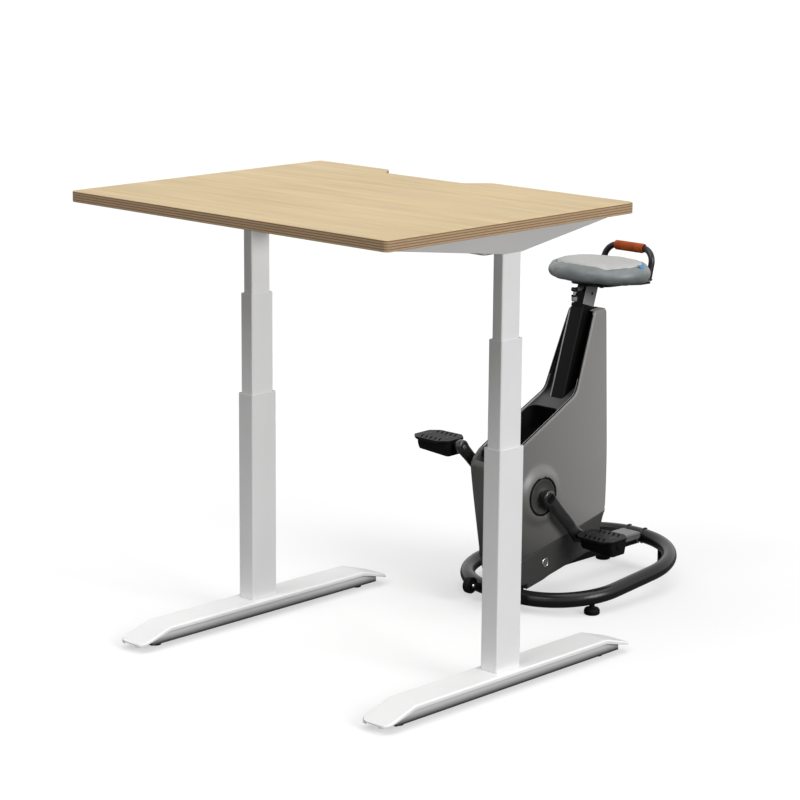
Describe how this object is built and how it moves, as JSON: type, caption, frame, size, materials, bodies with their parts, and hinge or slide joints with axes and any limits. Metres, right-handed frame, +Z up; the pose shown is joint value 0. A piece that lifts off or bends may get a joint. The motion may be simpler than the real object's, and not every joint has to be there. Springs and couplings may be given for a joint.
{
  "type": "bike trainer desk",
  "caption": "Electric sit-stand desk with a plywood top and telescoping white legs, and a compact exercise bike with pedals, storage bin and round seat that rolls in under it.",
  "frame": {"origin": "centre of the whole assembly's footprint, on the floor", "axes": "+X across the desk to the right of someone who sits on the bike's side and looks from the desk's straight edge; +Y from the desk's straight edge towards the bike's seat; +Z up"},
  "size_m": [1, 1.5228, 1.0915],
  "materials": {
    "birch": "clear satin lacquer on birch plywood",
    "white_steel": "white powder coat",
    "grey_plastic": "matte grey",
    "shell_grey": "fine-textured dark grey",
    "tray_grey": "textured charcoal",
    "black_steel": "black powder coat",
    "loop_steel": "dark grey satin paint",
    "black_plastic": "matte black",
    "bright_steel": "bright turned steel",
    "cover_grey": "light grey paint",
    "seat_vinyl": "grey vinyl cover",
    "tan_leather": "stitched tan leather",
    "rubber": "matte black",
    "belt_rubber": "matte black",
    "cast_iron": "machined grey iron"
  },
  "bodies": {
    "stand": {"left_foot_beam": "white_steel", "right_foot_beam": "white_steel", "left_foot_cap": "white_steel", "right_foot_cap": "white_steel", "left_outer_column": "white_steel", "right_outer_column": "white_steel", "left_outer_glide": "grey_plastic", "right_outer_glide": "grey_plastic", "left_lead_screw": "bright_steel", "right_lead_screw": "bright_steel"},
    "left front leveller": {"left_front_leveller": "rubber"},
    "left rear leveller": {"left_rear_leveller": "rubber"},
    "right front leveller": {"right_front_leveller": "rubber"},
    "right rear leveller": {"right_rear_leveller": "rubber"},
    "middle stage": {"left_middle_column": "white_steel", "right_middle_column": "white_steel", "left_middle_glide": "grey_plastic", "right_middle_glide": "grey_plastic", "left_drive_tube": "bright_steel", "right_drive_tube": "bright_steel"},
    "top": {"left_inner_column": "white_steel", "right_inner_column": "white_steel", "desktop": "birch", "left_bracket": "white_steel", "right_bracket": "white_steel", "left_motor": "white_steel", "right_motor": "white_steel", "crossbeam": "white_steel", "handset": "black_plastic"},
    "lift rocker": {"lift_rocker": "grey_plastic"},
    "bike": {"base_loop": "loop_steel", "main_frame": "black_steel", "rail_cover": "cover_grey", "left_shell": "shell_grey", "right_shell": "shell_grey", "lower_skirt": "shell_grey", "tray": "tray_grey", "post_collar": "black_plastic", "drive_belt": "belt_rubber"},
    "bike left pad": {"bike_left_pad": "rubber"},
    "bike right pad": {"bike_right_pad": "rubber"},
    "bike left rear pad": {"bike_left_rear_pad": "rubber"},
    "bike right rear pad": {"bike_right_rear_pad": "rubber"},
    "left wheel": {"left_wheel": "black_plastic"},
    "right wheel": {"right_wheel": "black_plastic"},
    "crankset": {"crank_axle": "bright_steel", "left_crank": "black_steel", "right_crank": "black_steel", "left_crank_disc": "shell_grey", "right_crank_disc": "shell_grey", "drive_pulley": "black_plastic"},
    "left pedal": {"left_pedal": "black_plastic"},
    "right pedal": {"right_pedal": "black_plastic"},
    "flywheel": {"flywheel": "cast_iron"},
    "seat": {"seat_post": "black_steel", "seat_pan": "black_steel", "seat_cushion": "seat_vinyl", "rear_handle": "black_steel", "handle_grip": "tan_leather"},
    "release lever": {"release_lever": "bright_steel"}
  },
  "joints": [
    {"name": "lift", "type": "slide", "parent": "stand", "child": "top", "axis": [0, 0, 1], "range_m": [-0.44, 0.17]},
    {"name": "middle_lift", "type": "slide", "parent": "stand", "child": "middle stage", "axis": [0, 0, 1], "range_m": [-0.22, 0.085]},
    {"name": "lift_rocker", "type": "hinge", "parent": "top", "child": "lift rocker", "pos_m": [0.3, 0.032, 1.0532], "axis": [1, 0, 0], "range_deg": [-8, 8], "stiffness_Nm_per_rad": 0.05},
    {"name": "left_front_level", "type": "slide", "parent": "stand", "child": "left front leveller", "axis": [0, 0, -1], "range_m": [0, 0.005]},
    {"name": "left_rear_level", "type": "slide", "parent": "stand", "child": "left rear leveller", "axis": [0, 0, -1], "range_m": [0, 0.005]},
    {"name": "right_front_level", "type": "slide", "parent": "stand", "child": "right front leveller", "axis": [0, 0, -1], "range_m": [0, 0.005]},
    {"name": "right_rear_level", "type": "slide", "parent": "stand", "child": "right rear leveller", "axis": [0, 0, -1], "range_m": [0, 0.005]},
    {"name": "bike_roll_in", "type": "slide", "parent": "stand", "child": "bike", "axis": [0, -1, 0], "range_m": [0, 0.55]},
    {"name": "bike_left_level", "type": "slide", "parent": "bike", "child": "bike left pad", "axis": [0, 0, -1], "range_m": [0, 0.008]},
    {"name": "bike_right_level", "type": "slide", "parent": "bike", "child": "bike right pad", "axis": [0, 0, -1], "range_m": [0, 0.008]},
    {"name": "bike_left_rear_level", "type": "slide", "parent": "bike", "child": "bike left rear pad", "axis": [0, 0, -1], "range_m": [0, 0.008]},
    {"name": "bike_right_rear_level", "type": "slide", "parent": "bike", "child": "bike right rear pad", "axis": [0, 0, -1], "range_m": [0, 0.008]},
    {"name": "seat_height", "type": "slide", "parent": "bike", "child": "seat", "axis": [0, 0.309, 0.9511], "range_m": [-0.03, 0.12]},
    {"name": "seat_release", "type": "hinge", "parent": "seat", "child": "release lever", "pos_m": [-0.02, 0.4625, 0.7735], "axis": [-1, 0, 0], "range_deg": [0, 35], "stiffness_Nm_per_rad": 0.05},
    {"name": "crank_spin", "type": "hinge", "parent": "bike", "child": "crankset", "pos_m": [-0.02, 0.2685, 0.285], "axis": [1, 0, 0], "continuous": true},
    {"name": "flywheel_spin", "type": "hinge", "parent": "bike", "child": "flywheel", "pos_m": [-0.02, 0.4365, 0.29], "axis": [1, 0, 0], "continuous": true},
    {"name": "right_pedal_spin", "type": "hinge", "parent": "crankset", "child": "right pedal", "pos_m": [0.145, 0.3887, 0.1648], "axis": [1, 0, 0], "continuous": true},
    {"name": "left_pedal_spin", "type": "hinge", "parent": "crankset", "child": "left pedal", "pos_m": [-0.185, 0.1483, 0.4052], "axis": [1, 0, 0], "continuous": true},
    {"name": "left_wheel_spin", "type": "hinge", "parent": "bike", "child": "left wheel", "pos_m": [-0.095, 0.169, 0.047], "axis": [1, 0, 0], "continuous": true},
    {"name": "right_wheel_spin", "type": "hinge", "parent": "bike", "child": "right wheel", "pos_m": [0.055, 0.169, 0.047], "axis": [1, 0, 0], "continuous": true}
  ],
  "couplings": [
    {"joint": "middle_lift", "follows": "lift", "ratio": 0.5},
    {"joint": "flywheel_spin", "follows": "crank_spin", "ratio": 4.4444}
  ]
}
